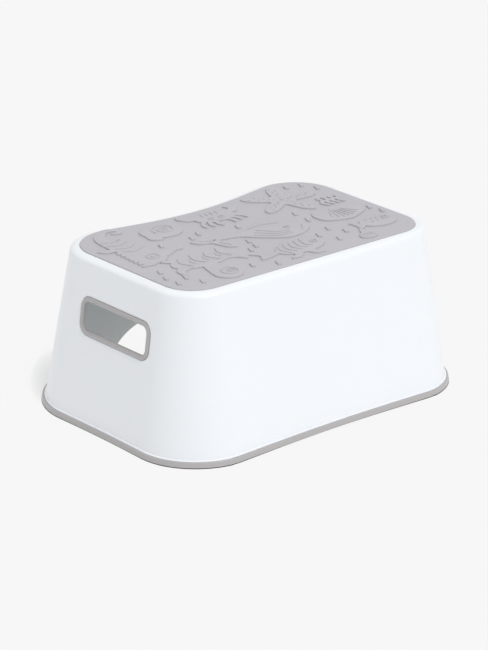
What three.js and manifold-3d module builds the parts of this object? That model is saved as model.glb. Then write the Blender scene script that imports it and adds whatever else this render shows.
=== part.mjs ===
// A child's one-step stool: a hollow moulded shell with a hollowed back and an arch under it, a soft
// relief mat let into the top, a soft rim round the foot, and a soft grip lining each hand slot.
// Millimetres, +Z up. The origin is on the floor, at the middle of the footprint. The long side is X
// and the hollowed back faces +Y.
import * as THREE from "three";
import { mergeVertices } from "three/addons/utils/BufferGeometryUtils.js";
import Module from "manifold-3d";

const wasm = await Module();
wasm.setup();

// ---- Driving dimensions ----
const HEIGHT = 167.5; // floor to the top of the mat's figures
const RELIEF = 1.4; // how far the figures stand up from the mat
const MAT_PROUD = 0.9; // mat above the shell's shoulder
const MAT_THICK = 2.6; // without its figures
const MAT_EDGE = 0.4; // chamfer round the mat's top
const WALL = 2.5;
const TOP_PLATE = 3;
const GAP = 0.3; // clearance wherever a soft piece meets the shell

// The shell's outer outline where its walls would meet the floor, and at the level of its shoulder.
// half: half length; front, back: y of the straight front and of the back's two corners; hollow: how
// far the middle of the back is drawn in; the others are radii.
const FOOT = {
  half: 186.5, front: -138.5, back: 154.5, hollow: 33, frontCorner: 66.5, backCorner: 83.5,
  hollowRadius: 335,
};
const SHOULDER = {
  half: 163.6, front: -111.7, back: 112.2, hollow: 33.5, frontCorner: 42.8, backCorner: 52.9,
  hollowRadius: 315,
};
const MAT_TOP = HEIGHT - RELIEF;
const MAT_BOTTOM = MAT_TOP - MAT_THICK;
const SHOULDER_Z = MAT_TOP - MAT_PROUD;
const CEILING_Z = MAT_BOTTOM - GAP - TOP_PLATE;
const SHOULDER_ROUND = { wide: 8, high: 4.5 }; // the turn from wall to top, a quarter of an ellipse
const CEILING_ROUND = { wide: 5, high: 5 }; // the same, inside
const MAT_INSET = 8.9; // from the line of the wall in to the mat's edge

// The foot's edge stands on its four corners, bows up between them and rises to an arch at the back.
const FRONT_BOW = { rise: 2.2, reach: 150 };
const SIDE_BOW = { rise: 0.8, from: -104, to: 80 };
const ARCH = { rise: 48.5, halfTop: 48.5, lean: 0.5, topRadius: 45, footRadius: 14 }; // lean: run over rise

// Rim and lip, measured out from the wall and, from the foot's edge, up it. The rim's top is rounded
// over its outer edge. The wall flares a very little below the fade's height, then slopes out to the
// lip. A tongue of the lip, which is as thick as the wall, goes down inside the rim.
const RIM = { out: 3.5, top: 6.1, floor: 1.8, foot: 0.2, round: { wide: 1.5, high: 0.9 } };
const LIP = { out: 1.5, flare: 0.1, top: 6.3, rise: 0.8, fade: 13, tongue: 1.3 };

// Hand slots and the grips that line them, one in each end wall.
const SLOT = { y: -12.2, z: 110.3, length: 96, height: 28.2, corner: 6.6 };
const GRIP = { sleeve: 2, deep: 1.6, bead: 5, proud: 1.5, round: 1.2 };

// Stiffening ribs under the top plate, moulded in one with the shell.
const RIB = { thick: 2, deep: 8, across: [-120, -80, -40, 0, 40, 80, 120], along: [-64, -28, 8, 44] };

// ---- Outlines ----
const STEPS = { front: 10, frontCorner: 8, side: 6, backCorner: 10, back: 8, hollow: 18 };

/** Points of the arc that rounds the corner at b between a and c. */
function roundedCorner(a, b, c, radius, steps) {
  const toA = a.clone().sub(b).normalize();
  const toC = c.clone().sub(b).normalize();
  const half = Math.acos(toA.dot(toC)) / 2;
  const middle = toA.clone().add(toC).setLength(radius / Math.sin(half)).add(b);
  const start = toA.clone().setLength(radius / Math.tan(half)).add(b).sub(middle);
  const end = toC.clone().setLength(radius / Math.tan(half)).add(b).sub(middle);
  const sweep = Math.atan2(start.cross(end), start.dot(end));
  return Array.from({ length: steps + 1 }, (_, i) =>
    start.clone().rotateAround(new THREE.Vector2(), (sweep * i) / steps).add(middle));
}

/** The stool's outline drawn in by an inset. Every outline has the same number of points, so that
 *  point i of one lies straight below point i of another. */
function outline(size, inset = 0) {
  const slope = size.hollow / size.half;
  const half = size.half - inset;
  const front = size.front + inset;
  const backMiddle = size.back - size.hollow - inset * Math.hypot(1, slope);
  const back = backMiddle + slope * half;
  const corner = [[-half, front], [half, front], [half, back], [0, backMiddle], [-half, back]]
    .map(([x, y]) => new THREE.Vector2(x, y));
  const { frontCorner, backCorner, hollowRadius } = size;
  const radius = [frontCorner - inset, frontCorner - inset, backCorner - inset,
    hollowRadius + inset, backCorner - inset];
  const arcSteps = [STEPS.frontCorner, STEPS.frontCorner, STEPS.backCorner, STEPS.hollow, STEPS.backCorner];
  const straightSteps = [STEPS.front, STEPS.side, STEPS.back, STEPS.back, STEPS.side];
  const arcs = corner.map((b, i) =>
    roundedCorner(corner[(i + 4) % 5], b, corner[(i + 1) % 5], radius[i], arcSteps[i]));
  return arcs.flatMap((arc, i) => {
    const from = arc[arc.length - 1];
    const to = arcs[(i + 1) % 5][0];
    const straight = Array.from({ length: straightSteps[i] - 1 }, (_, k) =>
      from.clone().lerp(to, (k + 1) / straightSteps[i]));
    return [...arc, ...straight];
  });
}

const footLine = outline(FOOT);
const COUNT = footLine.length;
const along = [0]; // distance along the foot line to each of its points
footLine.forEach((p, i) => along.push(along[i] + p.distanceTo(footLine[(i + 1) % COUNT])));
const LENGTH = along[COUNT];

/** A station on the outline, as a point number with a fraction, from a distance along the foot. */
function stationAt(distance) {
  const d = ((distance % LENGTH) + LENGTH) % LENGTH;
  const i = along.findLastIndex((sum) => sum <= d) % COUNT;
  return i + (d - along[i]) / (along[i + 1] - along[i]);
}

const lines = new Map(); // foot and shoulder outlines already made, by inset
function linesAt(inset) {
  if (!lines.has(inset)) lines.set(inset, [outline(FOOT, inset), outline(SHOULDER, inset)]);
  return lines.get(inset);
}

/** A point of the wall at a station and a height, moved out square to the outline. */
function wallPoint(station, z, inset = 0, out = 0) {
  const [low, high] = linesAt(inset);
  const i = Math.floor(station);
  const share = station - i;
  const at = (k) => low[(k + COUNT) % COUNT].clone().lerp(high[(k + COUNT) % COUNT], z / SHOULDER_Z);
  const tangent = share > 0 ? at(i + 1).sub(at(i)) : at(i + 1).sub(at(i - 1));
  const normal = new THREE.Vector2(tangent.y, -tangent.x).normalize();
  const p = at(i).lerp(at(i + 1), share).addScaledVector(normal, out);
  return new THREE.Vector3(p.x, p.y, z);
}

/** A level ring of the wall, or of the shoulder's own outline where the size is given. */
const wallRing = (z, inset) => Array.from({ length: COUNT }, (_, i) => wallPoint(i, z, inset));
const levelRing = (size, inset, z) => outline(size, inset).map((p) => new THREE.Vector3(p.x, p.y, z));

// ---- The foot's edge ----
/** Height of the arch at a distance from its middle: flat top, round, leaning leg, round toe. */
function archHeight(x) {
  const { rise, halfTop, lean, topRadius, footRadius } = ARCH;
  const turn = Math.atan2(1, lean); // the leg's angle from the floor
  const topEnd = halfTop - topRadius * Math.tan(turn / 2);
  const toeEnd = halfTop + rise * lean + footRadius * Math.tan(turn / 2);
  if (x <= topEnd) return rise;
  if (x <= topEnd + topRadius * Math.sin(turn)) {
    return rise - topRadius + Math.sqrt(topRadius ** 2 - (x - topEnd) ** 2);
  }
  if (x <= toeEnd - footRadius * Math.sin(turn)) return rise - (x - halfTop) / lean;
  if (x < toeEnd) return footRadius - Math.sqrt(footRadius ** 2 - (toeEnd - x) ** 2);
  return 0;
}

/** Height of the foot's edge above the floor at a point of the foot line. */
function edgeHeight({ x, y }) {
  const bow = (rise, t) => rise * Math.max(0, 1 - t * t) ** 1.5;
  const sideMiddle = (SIDE_BOW.from + SIDE_BOW.to) / 2;
  if (y < FOOT.front + 1) return bow(FRONT_BOW.rise, x / FRONT_BOW.reach);
  if (Math.abs(x) > FOOT.half - 4) {
    return bow(SIDE_BOW.rise, (y - sideMiddle) / (SIDE_BOW.to - sideMiddle));
  }
  return y > 0 ? archHeight(Math.abs(x)) : 0;
}

const edge = footLine.map(edgeHeight);
const edgeAngle = edge.map((_, i) => {
  const run = i ? along[i + 1] - along[i - 1] : along[1] + LENGTH - along[COUNT - 1];
  return Math.atan2(edge[(i + 1) % COUNT] - edge[(i + COUNT - 1) % COUNT], run);
});

/** The ring that keeps a distance up from the foot's edge, square to it. */
function footRing(up, inset, out) {
  return footLine.map((_, i) => {
    const station = stationAt(along[i] - up * Math.sin(edgeAngle[i]));
    return wallPoint(station, edge[i] + up * Math.cos(edgeAngle[i]), inset, out);
  });
}

// ---- Surfaces and solids ----
/** A closed surface through rings of matching points, joined end to end or capped at both ends. */
function skin(rings, capped) {
  const count = rings[0].length;
  const points = rings.flat();
  const faces = [];
  for (let r = 0; r < rings.length - (capped ? 1 : 0); r++) {
    const next = (r + 1) % rings.length;
    for (let i = 0; i < count; i++) {
      const j = (i + 1) % count;
      const [a, b, c, d] = [r * count + i, r * count + j, next * count + j, next * count + i];
      faces.push(a, b, c, a, c, d);
    }
  }
  for (const first of capped ? [true, false] : []) {
    const ring = first ? 0 : rings.length - 1;
    const middle = points.push(new THREE.Vector3(0, 0, rings[ring][0].z)) - 1;
    for (let i = 0; i < count; i++) {
      const pair = [ring * count + i, ring * count + ((i + 1) % count)];
      faces.push(...(first ? pair.reverse() : pair), middle);
    }
  }
  const geometry = new THREE.BufferGeometry();
  const numbers = points.flatMap((p) => p.toArray());
  geometry.setAttribute("position", new THREE.Float32BufferAttribute(numbers, 3));
  geometry.setIndex(faces);
  return geometry;
}

function solidOf(geometry) {
  const bare = geometry.clone();
  bare.deleteAttribute("normal");
  bare.deleteAttribute("uv");
  const merged = mergeVertices(bare, 1e-4);
  return new wasm.Manifold(new wasm.Mesh({
    numProp: 3,
    vertProperties: merged.attributes.position.array,
    triVerts: new Uint32Array(merged.index.array),
  }));
}

function geometryOf(solid) {
  const mesh = solid.getMesh();
  const geometry = new THREE.BufferGeometry();
  geometry.setAttribute("position", new THREE.BufferAttribute(new Float32Array(mesh.vertProperties), 3));
  geometry.setIndex(new THREE.BufferAttribute(new Uint32Array(mesh.triVerts), 1));
  return geometry;
}

/** A rounded rectangle centred on the origin. */
function roundedRectangle(length, height, corner) {
  const [x, y] = [length / 2 - corner, height / 2 - corner];
  const quarter = Math.PI / 2;
  const shape = new THREE.Shape();
  shape.absarc(x, -y, corner, -quarter, 0);
  shape.absarc(x, y, corner, 0, quarter);
  shape.absarc(-x, y, corner, quarter, 2 * quarter);
  shape.absarc(-x, -y, corner, 2 * quarter, 3 * quarter);
  return shape;
}

// ---- Shell ----
/** The wall from its lip to a height: the lip stands out and slopes in to the flare above it. */
function wallRings(inset, bottom, topZ, steps) {
  const fade = footRing(LIP.fade, inset, 0);
  const rings = [
    footRing(bottom, inset, LIP.out),
    footRing(LIP.top, inset, LIP.out),
    footRing(LIP.top + LIP.rise, inset, LIP.flare),
    fade,
  ];
  for (let k = 1; k <= steps; k++) {
    rings.push(fade.map((low, i) => {
      const shift = LIP.fade * Math.sin(edgeAngle[i]) * (1 - k / steps);
      return wallPoint(stationAt(along[i] - shift), THREE.MathUtils.lerp(low.z, topZ, k / steps), inset);
    }));
  }
  return rings;
}

/** The turn that leads the wall in to a level top. */
function turnRings(inset, topZ, { wide, high }, steps) {
  return Array.from({ length: steps }, (_, k) => {
    const angle = (((k + 1) / steps) * Math.PI) / 2;
    return wallRing(topZ - high * (1 - Math.sin(angle)), inset + wide * (1 - Math.cos(angle)));
  });
}

/** A hand slot's frame: its X runs along the wall, its Y up the wall and its Z out of it. */
function slotFrame(side) {
  const draft = Math.atan2(FOOT.half - SHOULDER.half, SHOULDER_Z);
  const wallX = THREE.MathUtils.lerp(FOOT.half, SHOULDER.half, SLOT.z / SHOULDER_Z);
  const out = new THREE.Vector3(side * Math.cos(draft), 0, Math.sin(draft));
  const up = new THREE.Vector3(-side * Math.sin(draft), 0, Math.cos(draft));
  const run = new THREE.Vector3().crossVectors(up, out);
  return new THREE.Matrix4().makeBasis(run, up, out).setPosition(side * wallX, SLOT.y, SLOT.z);
}

function shellSolid() {
  const outer = [
    ...wallRings(0, RIM.floor + GAP, SHOULDER_Z - SHOULDER_ROUND.high, 3),
    ...turnRings(0, SHOULDER_Z, SHOULDER_ROUND, 4),
    levelRing(SHOULDER, MAT_INSET - GAP, SHOULDER_Z),
    levelRing(SHOULDER, MAT_INSET - GAP, MAT_BOTTOM - GAP),
  ];
  const inner = [
    ...wallRings(WALL, GAP, CEILING_Z - CEILING_ROUND.high, 2),
    ...turnRings(WALL, CEILING_Z, CEILING_ROUND, 2),
  ];
  const tongue = [GAP, RIM.floor + GAP].map((up) => footRing(up, 0, LIP.out - LIP.tongue));
  let shell = solidOf(skin([...inner.reverse(), ...tongue, ...outer], true));

  const ribSpace = solidOf(skin([CEILING_Z - RIB.deep, CEILING_Z - CEILING_ROUND.high, CEILING_Z + 1]
    .map((z) => wallRing(z, z > CEILING_Z ? CEILING_ROUND.wide : WALL / 2)), true));
  const bar = (length, width, x, y) =>
    solidOf(new THREE.BoxGeometry(length, width, 2 * HEIGHT).translate(x, y, 0)).intersect(ribSpace);
  for (const x of RIB.across) shell = shell.add(bar(RIB.thick, 2 * FOOT.back, x, 0));
  for (const y of RIB.along) shell = shell.add(bar(2 * FOOT.half, RIB.thick, 0, y));

  const room = GRIP.sleeve + GAP;
  const slot = roundedRectangle(SLOT.length + 2 * room, SLOT.height + 2 * room, SLOT.corner + room);
  for (const side of [-1, 1]) {
    const cutter = new THREE.ExtrudeGeometry(slot, { depth: 40, bevelEnabled: false, curveSegments: 5 });
    shell = shell.subtract(solidOf(cutter.translate(0, 0, -20).applyMatrix4(slotFrame(side))));
  }
  return shell;
}

// ---- Rim ----
/** An L-shaped band: its upright covers the lip's edge and its floor runs under it to the tongue. */
function rimGeometry() {
  const { out, top, floor, foot, round } = RIM;
  const face = LIP.out + GAP;
  const back = LIP.out - LIP.tongue + GAP;
  const section = [[out - foot, 0], [out, foot], [out, top - round.high],
    [out - 0.3 * round.wide, top - 0.3 * round.high], [out - round.wide, top], [face, top], [face, floor],
    [back, floor], [back, 0]];
  return skin(section.map(([sideways, up]) => footRing(up, 0, sideways)), false);
}

// ---- Grips ----
/** A soft lining for one hand slot: a round bead outside and a short sleeve inside the wall's hole. */
function gripGeometry(side) {
  const { sleeve, deep, bead, proud, round } = GRIP;
  const section = [[0, -deep], [0, proud - round], [round, proud], [bead - 1.5 * round, proud], [bead, GAP],
    [sleeve, GAP], [sleeve, -deep]];
  const rings = section.map(([r, z]) =>
    roundedRectangle(SLOT.length + 2 * r, SLOT.height + 2 * r, SLOT.corner + r)
      .getPoints(5).slice(0, -1).map((p) => new THREE.Vector3(p.x, p.y, z)));
  return skin(rings.reverse(), false).applyMatrix4(slotFrame(side));
}

// ---- The mat's figures ----
// Every figure is a flat area made of simple shapes; all of them stand up by the same relief.
const { CrossSection } = wasm;
const DETAIL = 0.12; // the figures' outlines are simplified by at most this much

/** The disc-shaped stations of a smooth line through points given as x, y and radius. */
function discsAlong(points) {
  const middles = points.map(([x, y, radius]) => new THREE.Vector3(x, y, radius));
  const line = new THREE.CatmullRomCurve3(middles, false, "catmullrom", 0.5);
  return line.getPoints(3 * (points.length - 1))
    .map((p) => CrossSection.circle(p.z, 16).translate(p.x, p.y));
}

/** A stroke of changing width with round ends, through points given as x, y and half width. */
function stroke(...points) {
  const discs = discsAlong(points);
  return CrossSection.union(discs.slice(1).map((disc, i) => CrossSection.hull([discs[i], disc])));
}

/** The inside of a smooth closed line through points. */
function blob(...points) {
  const ring = points.map(([x, y]) => new THREE.Vector3(x, y, 0));
  const curve = new THREE.CatmullRomCurve3(ring, true, "catmullrom", 0.5);
  const line = curve.getPoints(3 * points.length).slice(0, -1);
  return CrossSection.ofPolygons([line.map((p) => [p.x, p.y])], "NonZero");
}

/** An oval with its long axis turned by an angle in degrees. */
function oval(x, y, long, short, turn = 0) {
  return CrossSection.circle(1, 28).scale([long, short]).rotate(turn).translate(x, y);
}

/** A star with rounded arms: its radius swings between two values. */
function star(x, y, near, far, arms, turn) {
  const steps = 10 * arms;
  const line = count(steps, (i) => {
    const angle = (2 * Math.PI * i) / steps;
    const radius = near + (far - near) * (0.5 + 0.5 * Math.cos(arms * angle)) ** 1.5;
    return [radius * Math.cos(angle), radius * Math.sin(angle)];
  });
  return CrossSection.ofPolygons([line]).rotate(turn).translate(x, y);
}

const count = (n, make) => Array.from({ length: n }, (_, i) => make(i));
const bothSides = (make) => [-1, 1].flatMap(make);

const FIGURES = {
  seahorse: [
    stroke([-104, 75, 2], [-98, 73, 2.6], [-96, 80, 3], [-107, 85, 3.8], [-119, 77, 5.5], [-125, 62, 8],
      [-122, 40, 13], [-119, 20, 16], [-122, 2, 15], [-118, -5, 14]),
    stroke([-112, -2, 9], [-100, -2, 6], [-88, 2, 4], [-80, 1, 3.4]),
    stroke([-134, 36, 3.5], [-142, 36, 3.2], [-147, 41, 1.8]),
    ...count(7, (i) => stroke([-128, 26 - 7 * i, 5], [-136 - 0.4 * i, 25 - 7 * i, 2])),
  ],
  snail: [
    oval(-64, 50, 22, 18, -14),
    stroke([-80, 46, 6], [-83, 38, 4.5], [-78, 33, 3]),
  ],
  crab: [
    oval(4, 50, 23, 14, -4),
    stroke([-16, 56, 3.5], [-24, 60, 4.5], [-24, 67, 3], [-20, 71, 1.6]),
    stroke([-24, 60, 4], [-29, 66, 2.4], [-28, 71, 1.4]),
    stroke([24, 54, 3.5], [32, 55, 4.5], [34, 62, 3], [31, 67, 1.6]),
    stroke([32, 55, 4], [38, 60, 2.4], [38, 65, 1.4]),
    ...bothSides((s) => count(3, (i) =>
      stroke([4 + s * (6 + 6 * i), 40 + 2 * i, 2.4], [4 + s * (9 + 8 * i), 32 + 2 * i, 2.2],
        [4 + s * (8 + 9 * i), 26 + 2 * i, 1.5]))),
  ],
  starfish: [star(89, 45, 14, 42, 5, 139)],
  whale: [
    blob([-45, -5], [-30, -3], [-14, -3], [8, 5], [34, 4], [55, -10], [62, -27], [45, -42], [22, -44],
      [2, -30], [-15, -13], [-32, -8]),
  ],
  fluke: [
    blob([-39, -5], [-48, 3], [-63, 6], [-58, -5], [-48, -10], [-42, -27], [-33, -31], [-35, -16]),
  ],
  turtle: [
    oval(-86, -38, 34, 17.5),
    stroke([-88, -54, 8], [-89, -66, 10.5], [-88, -81, 15.5]),
    ...bothSides((s) => [
      stroke([-86 + 24 * s, -46, 5.5], [-86 + 34 * s, -51, 4.5], [-86 + 38 * s, -61, 2]),
      stroke([-86 + 24 * s, -27, 4], [-86 + 32 * s, -20, 2.2]),
    ]),
  ],
  stripedFish: [
    oval(13, -70, 30, 16.5, 4),
    blob([-14, -71], [-28, -61], [-42, -57], [-36, -67], [-41, -77], [-27, -76]),
    stroke([0, -82, 5], [-6, -90, 3.5], [-14, -91, 1.6]),
    stroke([12, -82, 5], [15, -92, 4], [22, -95, 1.8]),
    stroke([4, -58, 5], [12, -52, 3.5], [22, -51, 1.6]),
  ],
  scallop: [
    blob([108, -41], [122, -37], [135, -30], [140, -17], [130, -5], [108, -1], [88, -4], [79, -15],
      [81, -30], [94, -38]),
  ],
  seaweed: count(4, (i) =>
    stroke([116 + 7 * i, 4, 2], [114 + 7 * i, 11, 2.2], [119 + 7 * i, 17, 2.2],
      [118 + 7 * i, 26 - 1.5 * i, 1.2])),
  puffer: [
    oval(121, -64, 21, 14.5, -6),
    blob([102, -64], [96, -56], [92, -52], [93, -62], [91, -72], [97, -71]),
  ],
  cone: [
    blob([75, -89], [80, -96], [90, -96], [96, -89], [92, -81], [83, -81]),
    stroke([86, -84, 3.5], [88, -77, 2.4], [91, -71, 1.2]),
  ],
};

// The short slanting bars between the figures: their size, their angle and the middle of each.
const TICK = { length: 9.5, width: 3.6, turn: 68 };
const TICKS = [
  [-137, -40], [-143, -56], [-127, -66], [-142, -74], [-121, -84], [-90, 17], [-53, 15], [-40, 21], [3, 12],
  [-16, -27], [-19, -41], [-30, -47], [-57, -81], [-34, -92], [48, -58], [57, -78], [68, -49], [77, -65],
  [70, -17], [72, 5], [143, -27], [146, -43], [143, 52], [119, 73], [136, 69],
];

function tick([x, y]) {
  return CrossSection.square([TICK.length, TICK.width], true).rotate(TICK.turn).translate(x, y);
}

// ---- Mat ----
function matSolid() {
  let mat = solidOf(skin([
    levelRing(SHOULDER, MAT_INSET, MAT_BOTTOM),
    levelRing(SHOULDER, MAT_INSET, MAT_TOP - MAT_EDGE),
    levelRing(SHOULDER, MAT_INSET + MAT_EDGE, MAT_TOP),
  ], true));
  const root = MAT_THICK / 2;
  const areas = [...Object.values(FIGURES).map((shapes) => CrossSection.union(shapes)), ...TICKS.map(tick)];
  for (const area of areas) {
    mat = mat.add(area.simplify(DETAIL).extrude(root + RELIEF).translate(0, 0, MAT_TOP - root));
  }
  return mat;
}

// ---- Assembly ----
function named(name, geometry, colour, roughness) {
  geometry.computeVertexNormals();
  const mesh = new THREE.Mesh(geometry, new THREE.MeshStandardMaterial({ color: colour, roughness }));
  mesh.name = name;
  return mesh;
}

const WHITE = 0xf1f3f6;
const GREY = 0xb3b1b3;
const stool = new THREE.Group();
stool.add(named("body_shell", geometryOf(shellSolid()), WHITE, 0.5));
stool.add(named("step_mat", geometryOf(matSolid()), GREY, 0.75));
stool.add(named("base_rim", rimGeometry(), GREY, 0.65));
stool.add(named("left_handle_grip", gripGeometry(-1), GREY, 0.65));
stool.add(named("right_handle_grip", gripGeometry(1), GREY, 0.65));

export default stool;
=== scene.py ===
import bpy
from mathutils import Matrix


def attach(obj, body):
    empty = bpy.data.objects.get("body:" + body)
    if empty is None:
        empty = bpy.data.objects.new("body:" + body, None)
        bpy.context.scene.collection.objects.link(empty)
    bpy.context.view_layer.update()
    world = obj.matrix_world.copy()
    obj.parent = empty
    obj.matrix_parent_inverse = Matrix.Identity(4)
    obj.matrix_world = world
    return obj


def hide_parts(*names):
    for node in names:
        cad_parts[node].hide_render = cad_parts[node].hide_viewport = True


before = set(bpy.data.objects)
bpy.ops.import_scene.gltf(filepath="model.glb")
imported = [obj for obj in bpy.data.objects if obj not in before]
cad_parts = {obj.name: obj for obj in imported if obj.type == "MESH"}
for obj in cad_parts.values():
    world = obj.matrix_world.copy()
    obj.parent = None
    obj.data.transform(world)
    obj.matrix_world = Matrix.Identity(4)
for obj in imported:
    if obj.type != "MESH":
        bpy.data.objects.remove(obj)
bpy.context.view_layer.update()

# The looks of a child's one-step stool: a moulded shell with a hollowed back and an arch under it, a soft
# relief mat let into its top, a soft rim round its foot and a soft grip in each hand slot.
# Lengths are millimetres, and become metres when a mesh is made. Heights are above the floor, +Z up.
import math

import bpy
import numpy as np
from mathutils import Vector
from mathutils.geometry import tessellate_polygon

MM = 0.001

# ---------------------------------------------------------------- dimensions, the same as the CAD's
RELIEF = 1.4  # how far the figures stand up from the mat
MAT_TOP = 166.1  # without its figures
MAT_PROUD = 0.9  # mat above the shell's shoulder
MAT_THICK = 2.6
MAT_EDGE = 0.4  # rounding of the mat's top edge
MAT_INSET = 8.9  # from the line of the wall in to the mat's edge
MAT_BOTTOM = MAT_TOP - MAT_THICK
WALL = 2.5
TOP_PLATE = 3.0
GAP = 0.3  # clearance wherever a soft piece meets the shell
SHOULDER_Z = MAT_TOP - MAT_PROUD
SHOULDER_ROUND = (8.0, 4.5)  # the turn from wall to top: how wide and how high
CEILING_Z = MAT_BOTTOM - GAP - TOP_PLATE
CEILING_ROUND = (5.0, 5.0)  # the same, inside

# The shell's outline where its walls would meet the floor, and at its shoulder. half: half length;
# front, back: y of the straight front and of the back's two corners; hollow: how far the middle of the
# back is drawn in; radii: of the front corners, the back corners and the hollow.
FOOT = dict(half=186.5, front=-138.5, back=154.5, hollow=33.0, radii=(66.5, 83.5, 335.0))
SHOULDER = dict(half=163.6, front=-111.7, back=112.2, hollow=33.5, radii=(42.8, 52.9, 315.0))

# The foot's edge stands on its four corners, bows up between them and rises to an arch at the back.
FRONT_BOW = dict(rise=2.2, reach=150.0)
SIDE_BOW = dict(rise=0.8, start=-104.0, end=80.0)
ARCH = dict(rise=48.5, half_top=48.5, lean=0.5, top_radius=45.0, foot_radius=14.0)  # lean: run over rise

# Rim and lip, measured out from the wall and, from the foot's edge, up it.
RIM_OUT, RIM_TOP, RIM_FLOOR = 3.5, 6.1, 1.8
RIM_BEAD = 0.2  # how far the rim's lower edge stands out past its side
RIM_ROUND = (1.5, 0.9)  # the rounding of its top: how wide and how high
LEDGE = RIM_TOP + 0.2  # the height of the lip's edge
LIP_OUT, LIP_RISE = 1.5, 0.8
LIP_THICK = 1.3  # the lip's tongue, which goes down inside the rim
FLARE_OUT, FLARE_TOP = 0.1, 13.0  # the wall's slight flare above the lip

# Hand slots, the grips that line them (margins out from the opening) and the seat cut for each grip.
SLOT = dict(y=-12.2, z=110.3, length=96.0, height=28.2, corner=6.6)
SLEEVE, SLEEVE_DEEP = 2.0, 1.6
BEAD, BEAD_PROUD, BEAD_CREST = 5.0, 1.5, 0.45  # crest: as a share of the bead's width
SEAT = dict(deep=1.3, gap=0.35, round=1.0)

RIB = dict(thick=2.0, deep=8.0, across=range(-120, 121, 40), along=(-64, -28, 8, 44))
SHARP_ANGLE = 40.0  # edges turning by more than this many degrees are shaded sharp

# ---------------------------------------------------------------- outlines
STEPS = dict(front=60, front_corner=44, side=44, back_corner=52, back=26, hollow=112)


def unit(v):
    return v / np.linalg.norm(v)


def rounded_corner(a, b, c, radius, steps):
    """Points of the arc that rounds the corner at b between a and c."""
    to_a, to_c = unit(a - b), unit(c - b)
    half = math.acos(to_a @ to_c) / 2
    middle = b + unit(to_a + to_c) * radius / math.sin(half)
    start = b + to_a * radius / math.tan(half) - middle
    end = b + to_c * radius / math.tan(half) - middle
    sweep = math.atan2(start[0] * end[1] - start[1] * end[0], start @ end)
    t = sweep * np.linspace(0, 1, steps + 1)[:, None]
    across = np.array([-start[1], start[0]])
    return middle + start * np.cos(t) + across * np.sin(t)


def outline(size, inset=0.0):
    """The stool's outline drawn in by an inset, anticlockwise from the front left corner."""
    slope = size["hollow"] / size["half"]
    half = size["half"] - inset
    front = size["front"] + inset
    back_middle = size["back"] - size["hollow"] - inset * math.hypot(1, slope)
    back = back_middle + slope * half
    corner = np.array([[-half, front], [half, front], [half, back], [0, back_middle], [-half, back]])
    r_front, r_back, r_hollow = size["radii"]
    radius = [r_front - inset, r_front - inset, r_back - inset, r_hollow + inset, r_back - inset]
    arc_steps = [STEPS[k] for k in ("front_corner", "front_corner", "back_corner", "hollow", "back_corner")]
    straight_steps = [STEPS[k] for k in ("front", "side", "back", "back", "side")]
    arcs = [rounded_corner(corner[i - 1], corner[i], corner[(i + 1) % 5], radius[i], arc_steps[i])
            for i in range(5)]
    points = []
    for i, arc in enumerate(arcs):
        share = np.arange(1, straight_steps[i])[:, None] / straight_steps[i]
        points += [arc, arc[-1] + (arcs[(i + 1) % 5][0] - arc[-1]) * share]
    return np.vstack(points)


foot_line = outline(FOOT)
COUNT = len(foot_line)
ALL = np.arange(COUNT)
along = np.r_[0, np.cumsum(np.linalg.norm(np.roll(foot_line, -1, 0) - foot_line, axis=1))]
LENGTH = along[-1]


def station_at(distance):
    """A place on the outline, as a point number with a fraction, from a distance along the foot."""
    return np.interp(np.mod(distance, LENGTH), along, np.arange(COUNT + 1))


def wall_point(station, z, inset=0.0, out=0.0):
    """Points of the wall at stations and heights, moved out square to the outline."""
    low, high = outline(FOOT, inset), outline(SHOULDER, inset)
    station = np.asarray(station, float)
    z = np.broadcast_to(np.asarray(z, float), station.shape)
    i = np.floor(station).astype(int)
    share = (station - i)[:, None]
    up = (z / SHOULDER_Z)[:, None]

    def at(k):
        return low[k % COUNT] * (1 - up) + high[k % COUNT] * up

    tangent = (at(i + 1) - at(i - 1)) * (1 - share) + (at(i + 2) - at(i)) * share
    normal = np.c_[tangent[:, 1], -tangent[:, 0]]
    normal /= np.linalg.norm(normal, axis=1)[:, None]
    p = at(i) * (1 - share) + at(i + 1) * share + normal * np.reshape(out, (-1, 1))
    return np.c_[p, z]


def level_ring(size, inset, z):
    """A level ring of an outline's own size."""
    p = outline(size, inset)
    return np.c_[p, np.full(len(p), z)]


# ---------------------------------------------------------------- the foot's edge
def arch_height(x):
    """Height of the arch at a distance from its middle: flat top, round, leaning leg, round toe."""
    rise, half_top, lean = ARCH["rise"], ARCH["half_top"], ARCH["lean"]
    r_top, r_foot = ARCH["top_radius"], ARCH["foot_radius"]
    turn = math.atan2(1, lean)
    top_end = half_top - r_top * math.tan(turn / 2)
    toe_end = half_top + rise * lean + r_foot * math.tan(turn / 2)
    if x <= top_end:
        return rise
    if x <= top_end + r_top * math.sin(turn):
        return rise - r_top + math.sqrt(r_top**2 - (x - top_end) ** 2)
    if x <= toe_end - r_foot * math.sin(turn):
        return rise - (x - half_top) / lean
    if x < toe_end:
        return r_foot - math.sqrt(r_foot**2 - (toe_end - x) ** 2)
    return 0.0


def edge_height(p):
    """Height of the foot's edge above the floor at a point of the foot line."""
    x, y = p
    side_middle = (SIDE_BOW["start"] + SIDE_BOW["end"]) / 2
    if y < FOOT["front"] + 1:
        return FRONT_BOW["rise"] * max(0, 1 - (x / FRONT_BOW["reach"]) ** 2) ** 1.5
    if abs(x) > FOOT["half"] - 4:
        t = (y - side_middle) / (SIDE_BOW["end"] - side_middle)
        return SIDE_BOW["rise"] * max(0, 1 - t * t) ** 1.5
    return arch_height(abs(x)) if y > 0 else 0.0


edge = np.array([edge_height(p) for p in foot_line])
edge_angle = np.arctan2(
    np.roll(edge, -1) - np.roll(edge, 1),
    np.linalg.norm(np.roll(foot_line, -1, 0) - np.roll(foot_line, 1, 0), axis=1),
)


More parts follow.
